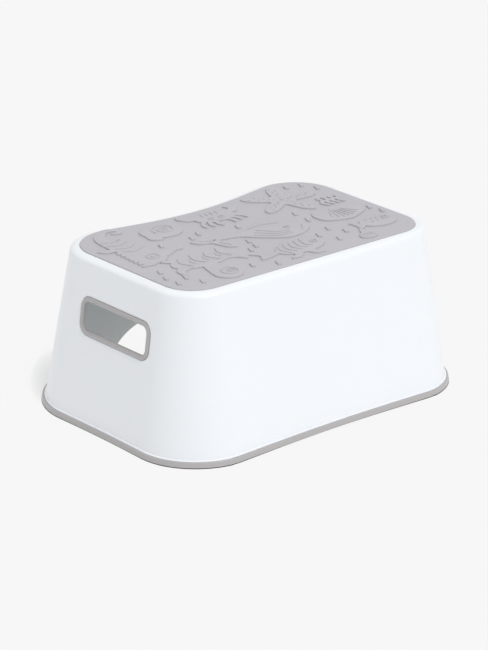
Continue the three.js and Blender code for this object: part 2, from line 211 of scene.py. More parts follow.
def foot_ring(up, inset=0.0, out=0.0):
    """The ring that keeps a distance up from the foot's edge, square to it."""
    station = station_at(along[:-1] - up * np.sin(edge_angle))
    return wall_point(station, edge + up * np.cos(edge_angle), inset, out)


# ---------------------------------------------------------------- meshes
def skin(rings, capped):
    """Points and faces of a closed surface through rings, joined end to end or capped at both ends."""
    n = len(rings[0])
    points = np.vstack(rings)
    i = np.arange(n)
    j = (i + 1) % n
    faces = []
    for r in range(len(rings) - (1 if capped else 0)):
        a, b = r * n, ((r + 1) % len(rings)) * n
        faces += np.c_[a + i, a + j, b + j, b + i].tolist()
    if capped:
        faces += [i[::-1].tolist(), ((len(rings) - 1) * n + i).tolist()]
    return points, faces


def joined(parts):
    """Several (points, faces) as one."""
    points, faces, start = [], [], 0
    for p, f in parts:
        points.append(p)
        faces += [[k + start for k in face] for face in f]
        start += len(p)
    return np.vstack(points), faces


def mesh_object(name, points, faces):
    """A new object, smooth but for its sharp edges, from points in millimetres."""
    mesh = bpy.data.meshes.new(name)
    mesh.from_pydata((np.asarray(points) * MM).tolist(), [], faces)
    mesh.validate()
    mesh.shade_smooth()
    mesh.set_sharp_from_angle(angle=math.radians(SHARP_ANGLE))
    obj = bpy.data.objects.new(name, mesh)
    bpy.context.scene.collection.objects.link(obj)
    return obj


def combine(obj, operation, other):
    """Adds another solid to obj or takes it away (UNION or DIFFERENCE), and removes the other."""
    modifier = obj.modifiers.new("combine", "BOOLEAN")
    modifier.operation, modifier.solver, modifier.object = operation, "EXACT", other
    bpy.context.view_layer.update()
    evaluated = obj.evaluated_get(bpy.context.evaluated_depsgraph_get())
    mesh = bpy.data.meshes.new_from_object(evaluated)
    obj.modifiers.clear()
    obj.data = mesh
    bpy.data.objects.remove(other)


# ---------------------------------------------------------------- shell
def flare(h):
    """How far the wall stands out at a height above its edge: a slight flare, then a sloping lip."""
    slope_top = LEDGE + LIP_RISE
    if h <= LEDGE:
        return LIP_OUT
    if h >= slope_top:
        return FLARE_OUT * (1 - (h - slope_top) / (FLARE_TOP - slope_top)) ** 2
    return LIP_OUT + (FLARE_OUT - LIP_OUT) * (h - LEDGE) / LIP_RISE


def wall_rings(inset, top_z, steps, bottom):
    """The wall from its edge to a height, with the lip and the flare at its foot.

    Rings stand close together on either side of the lip's two edges, which keeps them crisp.
    """
    slope_top = LEDGE + LIP_RISE
    heights = [bottom, 1.2 + bottom, 4.2, 5.4, LEDGE - 0.1, LEDGE, LEDGE + 0.08]
    heights += [slope_top - 0.08, slope_top, slope_top + 0.15, slope_top + 1]
    heights += [FLARE_TOP - 2, FLARE_TOP - 0.8, FLARE_TOP]
    rings = [foot_ring(h, inset, flare(h)) for h in heights]
    fade = rings[-1]
    for t in np.linspace(0, 1, steps + 1)[1:]:
        station = station_at(along[:-1] - FLARE_TOP * np.sin(edge_angle) * (1 - t))
        rings.append(wall_point(station, fade[:, 2] * (1 - t) + top_z * t, inset))
    return rings


def turn_rings(inset, top_z, turn, steps):
    """The turn that leads the wall in to a level top: a quarter of an ellipse, so wide and so high."""
    wide, high = turn
    rings = []
    for angle in np.linspace(0, math.pi / 2, steps + 1)[1:]:
        z = top_z - high * (1 - math.sin(angle))
        rings.append(wall_point(ALL, z, inset + wide * (1 - math.cos(angle))))
    return rings


def rounded_rectangle(length, height, corner, steps=10):
    """Points of a rounded rectangle centred on the origin, anticlockwise."""
    points = []
    for quarter, (sx, sy) in enumerate(((1, -1), (1, 1), (-1, 1), (-1, -1))):
        centre = np.array([sx * (length / 2 - corner), sy * (height / 2 - corner)])
        t = math.pi / 2 * (quarter - 1 + np.linspace(0, 1, steps + 1))
        points.append(centre + corner * np.c_[np.cos(t), np.sin(t)])
    return np.vstack(points)


def slot_frame(side):
    """A hand slot's centre and its three directions: along the wall, up the wall and out of it."""
    draft = math.atan2(FOOT["half"] - SHOULDER["half"], SHOULDER_Z)
    wall_x = FOOT["half"] + (SHOULDER["half"] - FOOT["half"]) * SLOT["z"] / SHOULDER_Z
    out = np.array([side * math.cos(draft), 0, math.sin(draft)])
    up = np.array([-side * math.sin(draft), 0, math.cos(draft)])
    return np.array([side * wall_x, SLOT["y"], SLOT["z"]]), np.cross(up, out), up, out


def slot_rings(side, profile):
    """Rounded rectangles round a hand slot, one for each (margin, height off the wall)."""
    centre, run, up, out = slot_frame(side)
    rings = []
    for margin, height in profile:
        length, tall = SLOT["length"] + 2 * margin, SLOT["height"] + 2 * margin
        p = rounded_rectangle(length, tall, SLOT["corner"] + margin)
        rings.append(centre + p[:, :1] * run + p[:, 1:] * up + height * out)
    return rings


def crossings(ring, axis, value):
    """The least and greatest other coordinate where a ring crosses a line x = value or y = value."""
    a, b = ring[:, :2], np.roll(ring[:, :2], -1, 0)
    hit = (a[:, axis] - value) * (b[:, axis] - value) <= 0
    t = (value - a[hit, axis]) / (b[hit, axis] - a[hit, axis] + 1e-12)
    other = a[hit, 1 - axis] + t * (b[hit, 1 - axis] - a[hit, 1 - axis])
    return other.min(), other.max()


def rib(axis, value):
    """A stiffening rib under the top plate, from wall to wall."""
    rows = []
    for z in (CEILING_Z - RIB["deep"], CEILING_Z - CEILING_ROUND[1], CEILING_Z + 1):
        inset = WALL / 2 if z < CEILING_Z else CEILING_ROUND[0]
        low, high = crossings(wall_point(ALL, z, inset), axis, value)
        corners = [[-1, low], [1, low], [1, high], [-1, high]]
        row = np.zeros((4, 3))
        for k, (s, end) in enumerate(corners):
            row[k, axis], row[k, 1 - axis], row[k, 2] = value + s * RIB["thick"] / 2, end, z
        rows.append(row if axis == 0 else row[::-1])
    return skin(rows, True)


outer = wall_rings(0, SHOULDER_Z - SHOULDER_ROUND[1], 26, RIM_FLOOR + GAP)
outer += turn_rings(0, SHOULDER_Z, SHOULDER_ROUND, 14)
outer += [level_ring(SHOULDER, MAT_INSET - GAP, z) for z in (SHOULDER_Z, MAT_BOTTOM - GAP)]
inner = wall_rings(WALL, CEILING_Z - CEILING_ROUND[1], 14, GAP)
inner += turn_rings(WALL, CEILING_Z, CEILING_ROUND, 6)
tongue = [foot_ring(h, LIP_THICK, LIP_OUT) for h in (GAP, RIM_FLOOR + GAP)]
shell = mesh_object("shell", *skin(inner[::-1] + tongue + outer, True))

# What is cut away for a grip, as (margin, height off the wall): the hole, the seat, and a rounded edge
# round the seat.
room = SLEEVE + GAP
seat = BEAD + SEAT["gap"]
slot_cut = [(room, -20), (room, -SEAT["deep"]), (seat, -SEAT["deep"])]
slot_cut += [(seat + SEAT["round"] * (1 - math.cos(a)), SEAT["round"] * (math.sin(a) - 1))
             for a in np.radians([0, 20, 40, 60, 80])]
slot_cut += [(seat + SEAT["round"], 0.02), (seat + SEAT["round"] + 0.1, 3)]
for side in (-1, 1):
    cutter = mesh_object("slot_cutter", *skin(slot_rings(side, slot_cut), True))
    combine(shell, "DIFFERENCE", cutter)
for points, faces in [rib(0, x) for x in RIB["across"]] + [rib(1, y) for y in RIB["along"]]:
    combine(shell, "UNION", mesh_object("rib", points, faces))


# ---------------------------------------------------------------- rim
def arc(cx, cy, rx, ry, start, end, steps):
    """Points of an arc of an ellipse, between two angles in degrees."""
    t = np.radians(np.linspace(start, end, steps + 1))
    return np.c_[cx + rx * np.cos(t), cy + ry * np.sin(t)]


# The rim's section, as (out, up): a rounded lower edge, the side, the round top, and the inside that
# covers the lip's edge and runs under it to the tongue.
side_out = RIM_OUT - RIM_BEAD
face, back = LIP_OUT + GAP / 2, LIP_OUT - LIP_THICK + GAP
wide, high = RIM_ROUND
rim_section = np.vstack([
    [[RIM_OUT - 1.9, 0], [RIM_OUT - 1.5, 0], [RIM_OUT - 1.2, 0.7]],
    arc(RIM_OUT - 0.4, 1.1, 0.4, 0.4, -90, 60, 7),
    arc(side_out + 0.25, 1.9, 0.25, 0.35, 230, 180, 3),
    arc(side_out - wide, RIM_TOP - high, wide, high, 0, 90, 9),
    [[face, RIM_TOP - 0.1], [face, RIM_FLOOR], [back, RIM_FLOOR], [back, 0.3], [back + 0.3, 0]],
])
rim = mesh_object("foot_rim", *skin([foot_ring(up, 0, out) for out, up in rim_section], False))

# ---------------------------------------------------------------- grips
# A grip's section, as (margin, height off the wall): the inside, the bead over its crest, the sleeve.
crest = BEAD_CREST * BEAD
seat_floor = GAP - SEAT["deep"]
bead_profile = np.vstack([
    [[0, -SLEEVE_DEEP]],
    arc(crest, -1.0, crest, BEAD_PROUD + 1.0, 180, 90, 12),
    arc(crest, -0.3, BEAD - crest, BEAD_PROUD + 0.3, 90, 0, 12)[1:],
    [[BEAD, seat_floor], [SLEEVE, seat_floor], [SLEEVE, -SLEEVE_DEEP]],
])
grips = [mesh_object(name, *skin(slot_rings(side, bead_profile[::-1]), False))
         for name, side in (("left_grip", -1), ("right_grip", 1))]


# ---------------------------------------------------------------- the mat's figures
# Each shape is a function from points to their distance from its outline, negative inside.
def smooth_part(a, b, c, d):
    """The part from b to c, without its end, of a smooth line through four points."""
    t = np.linspace(0, 1, 9)[:-1, None]
    return b + 0.5 * t * (c - a + t * (2 * a - 5 * b + 4 * c - d + t * (3 * (b - c) + d - a)))


def smooth_line(points):
    """A smooth line through points given as x, y and half width."""
    p = np.asarray(points, float)
    p = np.vstack([2 * p[0] - p[1], p, 2 * p[-1] - p[-2]])
    line = [smooth_part(*four) for four in zip(p[:-3], p[1:-2], p[2:-1], p[3:])]
    return np.vstack(line + [p[-2:-1]])


def stroke(*points):
    """A stroke of changing width with round ends, through points given as x, y and half width."""
    line = smooth_line(points)
    a, b = line[:-1], line[1:]
    run = b[:, :2] - a[:, :2]
    square = np.maximum((run**2).sum(1), 1e-9)

    def distance(p):
        off = p[:, None, :] - a[None, :, :2]
        t = np.clip((off * run).sum(2) / square, 0, 1)
        width = a[:, 2] + t * (b[:, 2] - a[:, 2])
        return (np.linalg.norm(off - t[..., None] * run, axis=2) - width).min(1)

    return distance


def shape(line):
    """The inside of a closed line."""
    a, b = line, np.roll(line, -1, 0)
    run = b - a
    square = np.maximum((run**2).sum(1), 1e-9)

    def distance(p):
        off = p[:, None, :] - a
        t = np.clip((off * run).sum(2) / square, 0, 1)
        reach = np.linalg.norm(off - t[..., None] * run, axis=2).min(1)
        crosses = (a[:, 1] > p[:, 1:]) != (b[:, 1] > p[:, 1:])
        x = a[:, 0] + run[:, 0] * (p[:, 1:] - a[:, 1]) / np.where(run[:, 1] == 0, 1e-9, run[:, 1])
        inside = np.count_nonzero(crosses & (p[:, :1] < x), axis=1) % 2 == 1
        return np.where(inside, -reach, reach)

    return distance


def blob(*points):
    """The inside of a smooth closed line through points."""
    p = np.asarray(points, float)
    n = len(p)
    return shape(np.vstack([smooth_part(*(p[(k + i) % n] for i in (-1, 0, 1, 2))) for k in range(n)]))


def oval(x, y, long, short, turn=0):
    """An oval with its long axis turned by an angle in degrees."""
    t = np.linspace(0, 2 * math.pi, 72, endpoint=False)
    c, s = math.cos(math.radians(turn)), math.sin(math.radians(turn))
    p = np.c_[long * np.cos(t), short * np.sin(t)]
    return shape(p @ np.array([[c, s], [-s, c]]) + (x, y))


def star(x, y, near, far, arms, turn):
    """A star with rounded arms: its radius swings between two values."""
    t = np.linspace(0, 2 * math.pi, 30 * arms, endpoint=False)
    r = near + (far - near) * (0.5 + 0.5 * np.cos(arms * t)) ** 1.5
    turn = t + math.radians(turn)
    return shape(np.c_[x + r * np.cos(turn), y + r * np.sin(turn)])


def disc(x, y, radius):
    """A round spot."""
    return lambda p: np.linalg.norm(p - (x, y), axis=1) - radius


def ring(x, y, radius, half_width):
    """A round band."""
    return lambda p: np.abs(np.linalg.norm(p - (x, y), axis=1) - radius) - half_width


def spiral(x, y, first, last, turns, start, half_width):
    """A stroke that winds outwards round a point."""
    t = np.linspace(0, 1, 8 * turns + 1)
    angle = math.radians(start) + 2 * math.pi * turns * t
    r = first + (last - first) * t
    width = np.full(len(t), half_width)
    return stroke(*np.c_[x + r * np.cos(angle), y + r * np.sin(angle), width].tolist())


def merged(shapes, blend=1.2):
    """The union of shapes, with a small fillet where they meet."""
    def distance(p):
        d = shapes[0](p)
        for other in shapes[1:]:
            e = other(p)
            mix = np.maximum(blend - np.abs(d - e), 0) / blend
            d = np.minimum(d, e) - mix**2 * blend / 4
        return d

    return distance


def slope(field, p, step=0.05):
    """The direction in which a field rises, as unit vectors."""
    dx, dy = np.array([step, 0]), np.array([0, step])
    g = np.c_[field(p + dx) - field(p - dx), field(p + dy) - field(p - dy)]
    return g / np.maximum(np.linalg.norm(g, axis=1), 1e-9)[:, None]


def contours(field, low, high, cell):
    """Closed lines round a field's negative parts, found on a square grid.

    They run anticlockwise round the outside of a part, and clockwise round a hole in it.
    """
    xs, ys = np.arange(low[0], high[0], cell), np.arange(low[1], high[1], cell)
    points = np.array(np.meshgrid(xs, ys, indexing="ij")).reshape(2, -1).T
    grid = field(points).reshape(len(xs), len(ys))
    sign = grid < 0
    inside = sign.astype(int)
    negative = inside[:-1, :-1] + inside[1:, :-1] + inside[1:, 1:] + inside[:-1, 1:]
    following = {}
    for i, j in np.argwhere((negative > 0) & (negative < 4)):
        corner = [(i, j), (i + 1, j), (i + 1, j + 1), (i, j + 1)]
        at = [sign[c] for c in corner]
        leaving = [k for k in range(4) if at[k] and not at[(k + 1) % 4]]
        entering = [k for k in range(4) if not at[k] and at[(k + 1) % 4]]
        for k in leaving:
            partner = min(entering, key=lambda e: (e - k) % 4)
            pair = [tuple(sorted((corner[e], corner[(e + 1) % 4]))) for e in (k, partner)]
            following[pair[0]] = pair[1]
    loops = []
    while following:
        key = first = next(iter(following))
        loop = []
        while key in following:
            (i0, j0), (i1, j1) = key
            t = grid[i0, j0] / (grid[i0, j0] - grid[i1, j1])
            loop.append([xs[i0] + t * (xs[i1] - xs[i0]), ys[j0] + t * (ys[j1] - ys[j0])])
            key = following.pop(key)
        if key == first and len(loop) > 5:
            loops.append(np.array(loop))
    return loops


def evenly(loop, spacing):
    """A closed line resampled at even steps."""
    closed = np.vstack([loop, loop[:1]])
    length = np.r_[0, np.cumsum(np.linalg.norm(np.diff(closed, axis=0), axis=1))]
    at = np.linspace(0, length[-1], max(8, int(length[-1] / spacing)) + 1)[:-1]
    return np.c_[np.interp(at, length, closed[:, 0]), np.interp(at, length, closed[:, 1])]


def signed_area(line):
    """A closed line's area, positive where it runs anticlockwise."""
    x, y = line.T
    return 0.5 * (x @ np.roll(y, -1) - y @ np.roll(x, -1))


def nested(lines):
    """Groups of an outer line followed by the holes in it."""
    outers = sorted((line for line in lines if signed_area(line) > 0), key=signed_area)
    groups = [[line] for line in outers]
    for hole in (line for line in lines if signed_area(line) <= 0):
        home = next(g for g in groups if shape(g[0])(hole[:1])[0] < 0)
        home.append(hole)
    return groups


def capped_walls(lines, levels, field):
    """A solid between levels, given as (distance in from the lines, height)."""
    walls, starts = [], []
    start = 0
    for line in lines:
        out = slope(field, line)
        points, faces = skin([np.c_[line - out * d, np.full(len(line), z)] for d, z in levels], False)
        walls.append((points, faces[:-len(line)]))
        starts.append(start)
        start += len(points)
    points, faces = joined(walls)
    for level in (0, len(levels) - 1):
        ids = [s + level * len(line) + k for s, line in zip(starts, lines) for k in range(len(line))]
        loops = [[Vector((*points[s + level * len(line) + k, :2], 0)) for k in range(len(line))]
                 for s, line in zip(starts, lines)]
        for triangle in tessellate_polygon(loops):
            a, b, c = (points[ids[k], :2] for k in triangle)
            faces_up = (b[0] - a[0]) * (c[1] - a[1]) > (b[1] - a[1]) * (c[0] - a[0])
            right_way = faces_up == (level > 0)
            faces.append([ids[k] for k in (triangle if right_way else triangle[::-1])])
    return points, faces


# How a relief is made. height: above its level; draft: how far its sides lean in; bevel: the rounding
# of its top edge; cell: of the grid on which its outline is found; spacing: of the outline's points.
BODY = dict(height=RELIEF, draft=0.1, bevel=0.22, cell=0.8, spacing=0.9)
DETAIL = dict(height=0.7, draft=0.1, bevel=0.2, cell=0.4, spacing=0.6)
BOLD = dict(height=0.9, draft=0.1, bevel=0.3, cell=0.5, spacing=0.7)
BAR = dict(height=RELIEF, draft=0.08, bevel=0.15, cell=0.3, spacing=0.6)
ROOT = 0.5  # how far a relief goes down into what it stands on


def raised(shapes, low, high, base, height, draft, bevel, cell, spacing):
    """A moulded relief on a level: sloping sides, a rounded top edge and a flat top."""
    field = merged(shapes)
    levels = [(0.0, base - ROOT), (0.0, base), (draft, base + height - bevel)]
    levels += [(draft + bevel * (1 - math.cos(a)), base + height - bevel * (1 - math.sin(a)))
               for a in np.radians([30, 60, 90])]
    lines = []
    for loop in contours(field, low, high, cell):
        line = evenly(loop, spacing)
        for _ in range(2):
            line = line - slope(field, line) * field(line)[:, None]
        lines.append(line)
    return joined([capped_walls(group, levels, field) for group in nested(lines)])


def tick(x, y):
    """A short slanting bar."""
    turn = math.radians(TICK["turn"])
    run = np.array([math.cos(turn), math.sin(turn)]) * TICK["length"] / 2
    across = np.array([-math.sin(turn), math.cos(turn)]) * TICK["width"] / 2
    corners = ((-1, -1), (1, -1), (1, 1), (-1, 1))
    return shape(np.array([(x, y) + s * run + t * across for s, t in corners]))


# Each figure: the box it lies in (least x and y, greatest x and y), the shapes of its body, and the
# finer and the bolder shapes raised on it.
FIGURES = {
    "seahorse": dict(
        box=(-155, -32, -70, 95),
        body=[
            stroke([-104, 75, 2], [-98, 73, 2.6], [-96, 80, 3], [-107, 85, 3.8], [-119, 77, 5.5],
                   [-125, 62, 8], [-122, 40, 13], [-119, 20, 16], [-122, 2, 15], [-118, -5, 14]),
            stroke([-112, -2, 9], [-100, -2, 6], [-88, 2, 4], [-80, 1, 3.4]),
            stroke([-134, 36, 3.5], [-142, 36, 3.2], [-147, 41, 1.8]),
            *[stroke([-128, 26 - 7 * i, 5], [-136 - 0.4 * i, 25 - 7 * i, 2]) for i in range(7)],
        ],
        detail=[
            ring(-116, -3, 6.5, 0.6), disc(-116, -3, 2.4),
            *[stroke([-133 + i, 58 - 11 * i, 0.6], [-122 + i, 54 - 11 * i, 0.9],
                     [-111 + i, 57 - 11 * i, 0.6]) for i in range(4)],
        ],
    ),
    "snail": dict(
        box=(-95, 20, -38, 80),
        body=[oval(-64, 50, 22, 18, -14), stroke([-80, 46, 6], [-83, 38, 4.5], [-78, 33, 3])],
        detail=[spiral(-59, 52, 1.5, 13.5, 2, 200, 0.9)],
    ),
    "crab": dict(
        box=(-36, 18, 46, 84),
        body=[
            oval(4, 50, 23, 14, -4),
            stroke([-16, 56, 3.5], [-24, 60, 4.5], [-24, 67, 3], [-20, 71, 1.6]),
            stroke([-24, 60, 4], [-29, 66, 2.4], [-28, 71, 1.4]),
            stroke([24, 54, 3.5], [32, 55, 4.5], [34, 62, 3], [31, 67, 1.6]),
            stroke([32, 55, 4], [38, 60, 2.4], [38, 65, 1.4]),
            *[stroke([4 + s * (6 + 6 * i), 40 + 2 * i, 2.4], [4 + s * (9 + 8 * i), 32 + 2 * i, 2.2],
                     [4 + s * (8 + 9 * i), 26 + 2 * i, 1.5]) for s in (-1, 1) for i in range(3)],
        ],
        detail=[
            ring(-3, 46, 2.6, 0.6), ring(9, 45, 2.6, 0.6),
            stroke([-2, 39, 0.6], [3, 37.5, 0.8], [8, 39, 0.6]),
            *[stroke([-6 + 6 * i, 55 - 0.3 * i, 0.8], [-5 + 6 * i, 61 - 0.3 * i, 0.6]) for i in range(4)],
        ],
    ),
    "starfish": dict(
        box=(40, -2, 140, 92),
        body=[star(89, 45, 14, 42, 5, 139)],
        detail=[disc(89, 45, 1.5)] + [
            disc(89 + r * math.cos(turn), 45 + r * math.sin(turn), 1.15)
            for i in range(5) for k, r in enumerate((8, 13, 18, 23, 28, 33))
            for turn in [math.radians(139 + 72 * i + 9 * (k % 2) - 4)]
        ],
    ),
    "whale": dict(
        box=(-70, -52, 70, 16),
        body=[blob([-45, -5], [-30, -3], [-14, -3], [8, 5], [34, 4], [55, -10], [62, -27], [45, -42],
                   [22, -44], [2, -30], [-15, -13], [-32, -8])],
        detail=[
            ring(38, -21, 3.2, 0.6), disc(38, -21, 1.2),
            stroke([46, -35, 0.6], [51, -31, 0.9], [54, -25, 0.6]),
            *[stroke([-2 + 5 * i, -20 + 5 * i, 0.5], [16 + 3 * i, -35 + 5 * i, 0.8],
                     [32 + i, -37 + 4 * i, 0.5]) for i in range(3)],
            stroke([4, -1, 0.5], [22, 0, 0.8], [40, -6, 0.5]),
        ],
    ),
    "fluke": dict(
        box=(-70, -38, -26, 12),
        body=[blob([-39, -5], [-48, 3], [-63, 6], [-58, -5], [-48, -10], [-42, -27], [-33, -31],
                   [-35, -16])],
        detail=[stroke([-57, 1, 0.5], [-48, -4, 0.8], [-44, -7, 0.5]),
                stroke([-37, -26, 0.5], [-41, -14, 0.8])],
    ),
    "turtle": dict(
        box=(-130, -106, -42, -10),
        body=[
            oval(-86, -38, 34, 17.5),
            stroke([-88, -54, 8], [-89, -66, 10.5], [-88, -81, 15.5]),
            *[stroke([-86 + 24 * s, -46, 5.5], [-86 + 34 * s, -51, 4.5], [-86 + 38 * s, -61, 2])
              for s in (-1, 1)],
            *[stroke([-86 + 24 * s, -27, 4], [-86 + 32 * s, -20, 2.2]) for s in (-1, 1)],
        ],
        detail=[ring(-85, -80, 8.5, 0.6), ring(-83, -80, 3.4, 0.6), disc(-83, -80, 1.2),
                *[stroke([-96 + 16 * i, -34, 0.6], [-98 + 16 * i, -39, 1], [-97 + 16 * i, -44, 0.6])
                  for i in range(3)]],
        bold=[stroke([-104 + 16 * i, -26 + 2 * (i % 2), 1.2], [-107 + 16 * i, -36, 2.4],
                     [-103 + 16 * i, -48 + 2 * (i % 2), 1.4]) for i in range(4)],
    ),
    "striped_fish": dict(
        box=(-50, -104, 52, -46),
        body=[
            oval(13, -70, 30, 16.5, 4),
            blob([-14, -71], [-28, -61], [-42, -57], [-36, -67], [-41, -77], [-27, -76]),
            stroke([0, -82, 5], [-6, -90, 3.5], [-14, -91, 1.6]),
            stroke([12, -82, 5], [15, -92, 4], [22, -95, 1.8]),
            stroke([4, -58, 5], [12, -52, 3.5], [22, -51, 1.6]),
        ],
        detail=[
            ring(31, -69, 3.6, 0.6), disc(31, -69, 1.3),
            *[stroke([-7 + 7.5 * i, -59 + 0.8 * i, 0.5], [-11 + 7.5 * i, -70, 1],
                     [-7 + 7.5 * i, -81 + i, 0.5]) for i in range(5)],
        ],
    ),
    "scallop": dict(
        box=(72, -44, 146, 6),
        body=[
            blob([108, -41], [122, -37], [135, -30], [140, -17], [130, -5], [108, -1], [88, -4], [79, -15],
                 [81, -30], [94, -38]),
        ],
        detail=[
            *[stroke([109 + 0.9 * i, -8, 0.6], [109 + 3.4 * i, -21 + 0.3 * i * i, 0.9],
                     [109 + 5.6 * i, -35 + 0.75 * i * i, 0.6]) for i in range(-3, 4)],
        ],
    ),
    "seaweed": dict(
        box=(106, 0, 154, 36),
        body=[stroke([116 + 7 * i, 4, 2], [114 + 7 * i, 11, 2.2], [119 + 7 * i, 17, 2.2],
                     [118 + 7 * i, 26 - 1.5 * i, 1.2]) for i in range(4)],
        detail=[],
    ),
    "puffer": dict(
        box=(82, -86, 150, -42),
        body=[oval(121, -64, 21, 14.5, -6),
              blob([102, -64], [96, -56], [92, -52], [93, -62], [91, -72], [97, -71])],
        detail=[
            ring(133, -60, 2.8, 0.6),
            *[disc(111 + 7 * (k % 4) + 3 * (k // 4), -57 - 7 * (k // 4), 1.2) for k in range(8)],
        ],
    ),
    "cone": dict(
        box=(70, -102, 104, -66),
        body=[blob([75, -89], [80, -96], [90, -96], [96, -89], [92, -81], [83, -81]),
              stroke([86, -84, 3.5], [88, -77, 2.4], [91, -71, 1.2])],
        detail=[stroke([79, -88, 0.5], [85, -86, 0.8], [92, -88, 0.5]),
                stroke([80, -92, 0.5], [86, -90, 0.8], [92, -92, 0.5])],
    ),
}

# The short slanting bars between the figures: their size, their angle and the middle of each.
TICK = dict(length=9.5, width=3.6, turn=68)
TICKS = [
    (-137, -40), (-143, -56), (-127, -66), (-142, -74), (-121, -84), (-90, 17), (-53, 15), (-40, 21),
    (3, 12), (-16, -27), (-19, -41), (-30, -47), (-57, -81), (-34, -92), (48, -58), (57, -78), (68, -49),
    (77, -65), (70, -17), (72, 5), (143, -27), (146, -43), (143, 52), (119, 73), (136, 69),
]

# ---------------------------------------------------------------- mat
top = MAT_TOP + RELIEF
mat_rings = [level_ring(SHOULDER, MAT_INSET, MAT_BOTTOM)]
for angle in np.radians(np.linspace(0, 90, 6)):
    down, across = MAT_EDGE * (1 - math.sin(angle)), MAT_EDGE * (1 - math.cos(angle))
    mat_rings.append(level_ring(SHOULDER, MAT_INSET + across, MAT_TOP - down))
parts = [skin(mat_rings, True)]
for figure in FIGURES.values():
    low, high = figure["box"][:2], figure["box"][2:]
    parts.append(raised(figure["body"], low, high, MAT_TOP, **BODY))
    if figure["detail"]:
        parts.append(raised(figure["detail"], low, high, top, **DETAIL))
    if "bold" in figure:
        parts.append(raised(figure["bold"], low, high, top, **BOLD))
reach = 8  # from a bar's middle to the edges of the box it is looked for in
for x, y in TICKS:
    low, high = (x - reach, y - reach), (x + reach, y + reach)
    parts.append(raised([tick(x, y)], low, high, MAT_TOP, **BAR))
mat = mesh_object("relief_mat", *joined(parts))


# ---------------------------------------------------------------- materials
def material(name, colour, roughness, grain, depth, mottle):
    """Moulded plastic: a colour that varies a little, and a fine grain in gloss and surface.

    grain and depth are the grain's scale and its height in millimetres; mottle is the share by which
    the colour varies.
    """
    m = bpy.data.materials.new(name)
    m.use_nodes = True
    nodes, links = m.node_tree.nodes, m.node_tree.links
    shader = nodes["Principled BSDF"]
    where = nodes.new("ShaderNodeTexCoord").outputs["Object"]

    def noise(scale, detail):
        n = nodes.new("ShaderNodeTexNoise")
        n.inputs["Scale"].default_value, n.inputs["Detail"].default_value = scale, detail
        links.new(where, n.inputs["Vector"])
        return n.outputs["Fac"]

    def ramp(source, low, high):
        r = nodes.new("ShaderNodeValToRGB")
        r.color_ramp.elements[0].color, r.color_ramp.elements[1].color = (*low, 1), (*high, 1)
        r.color_ramp.elements[0].position, r.color_ramp.elements[1].position = 0.3, 0.7
        links.new(source, r.inputs["Fac"])
        return r.outputs["Color"]

    colour = np.array(colour)
    clouds = noise(9, 3)
    cloudy = ramp(clouds, colour * (1 - mottle), colour * (1 + mottle))
    links.new(cloudy, shader.inputs["Base Color"])
    fine = noise(grain, 2)
    spread = nodes.new("ShaderNodeMapRange")
    spread.inputs["To Min"].default_value = roughness - 0.05
    spread.inputs["To Max"].default_value = roughness + 0.05
    links.new(fine, spread.inputs["Value"])
    links.new(spread.outputs["Result"], shader.inputs["Roughness"])
    bump = nodes.new("ShaderNodeBump")
    bump.inputs["Strength"].default_value = 0.25
    bump.inputs["Distance"].default_value = depth * MM
    links.new(fine, bump.inputs["Height"])
    links.new(bump.outputs["Normal"], shader.inputs["Normal"])
    return m


white = material("white_moulding", (0.847, 0.873, 0.906), 0.34, 1800, 0.05, 0.004)
mat_grey = material("mat_elastomer", (0.485, 0.474, 0.507), 0.52, 2400, 0.12, 0.02)
trim_grey = material("trim_elastomer", (0.43, 0.418, 0.418), 0.33, 2000, 0.06, 0.015)

PIECES = [
    (shell, white, "white_shell", ["body_shell"]),
    (rim, trim_grey, "trim_grey", ["base_rim"]),
    (grips[0], trim_grey, "trim_grey", ["left_handle_grip"]),
    (grips[1], trim_grey, "trim_grey", ["right_handle_grip"]),
    (mat, mat_grey, "mat_grey", ["step_mat"]),
]
for piece, finish_material, slot_name, nodes_replaced in PIECES:
    piece.data.materials.clear()
    piece.data.materials.append(finish_material)
    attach(piece, "root")
    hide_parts(*nodes_replaced)

# ---------------------------------------------------------------- stage, light and camera
SKY = 0.70  # brightness of the even sky
WHITE_PAPER = 0.93  # brightness of the floor
PAPER_LIGHT = 1.07  # light falling on the open floor, for a floor that reflects all of it
FLOOR_ALBEDO, PAINTED_SHADOW_ALBEDO = 0.03, 0.70
# Painted shade inside the stool: the floor's glow there, how much it reflects, and its tint.
INSIDE_PAINTED_SHADE_GLOW, INSIDE_PAINTED_SHADE_ALBEDO, INSIDE_PAINTED_SHADE_TINT = 0.33, 0.4, (1, 1, 0.93)
# A painted shadow on the floor: an oval patch that reflects more light and glows less, so that shade shows
# there and nowhere else on the floor. Its middle, its two reaches, its turn and how hard its edge is.
PAINTED_SHADOW = dict(x=-128.7, y=151.4, across=19.8, deep=73.9, turn=-0.703, hardness=0.6)
FLOOR_REACH, BACKDROP_HEIGHT = 20000, 10000

# White paper that glows, so that it stays white right up to the stool. Under the rim it is painted dark, a
# painted contact shadow, and inside the stool its glow is turned down, a painted shade, except that painted
# light comes in a little way under the arch. Its parts meet under the rim, and are drawn in where the
# foot's edge is raised and shows more of the floor below it.
low_edge = 3  # up to this height, an edge counts as standing on the floor
raised_edge = np.minimum(edge, low_edge) * 2.4
open_edge = np.clip(edge / 30, 0, 1)
at_rim = wall_point(ALL, 0, 0, RIM_OUT - 0.1 - raised_edge)[:, :2]
in_rim = wall_point(ALL, 0, 0, -WALL - 2 - raised_edge)[:, :2]
far = foot_line / np.linalg.norm(foot_line, axis=1)[:, None] * FLOOR_REACH
floor_rings = [np.c_[line, np.zeros(COUNT)] for line in (far, at_rim, in_rim, in_rim * 0.72)]
points, faces = skin(floor_rings, False)
faces = faces[:3 * COUNT] + [(3 * COUNT + ALL).tolist()]
floor = mesh_object("floor", points, faces)
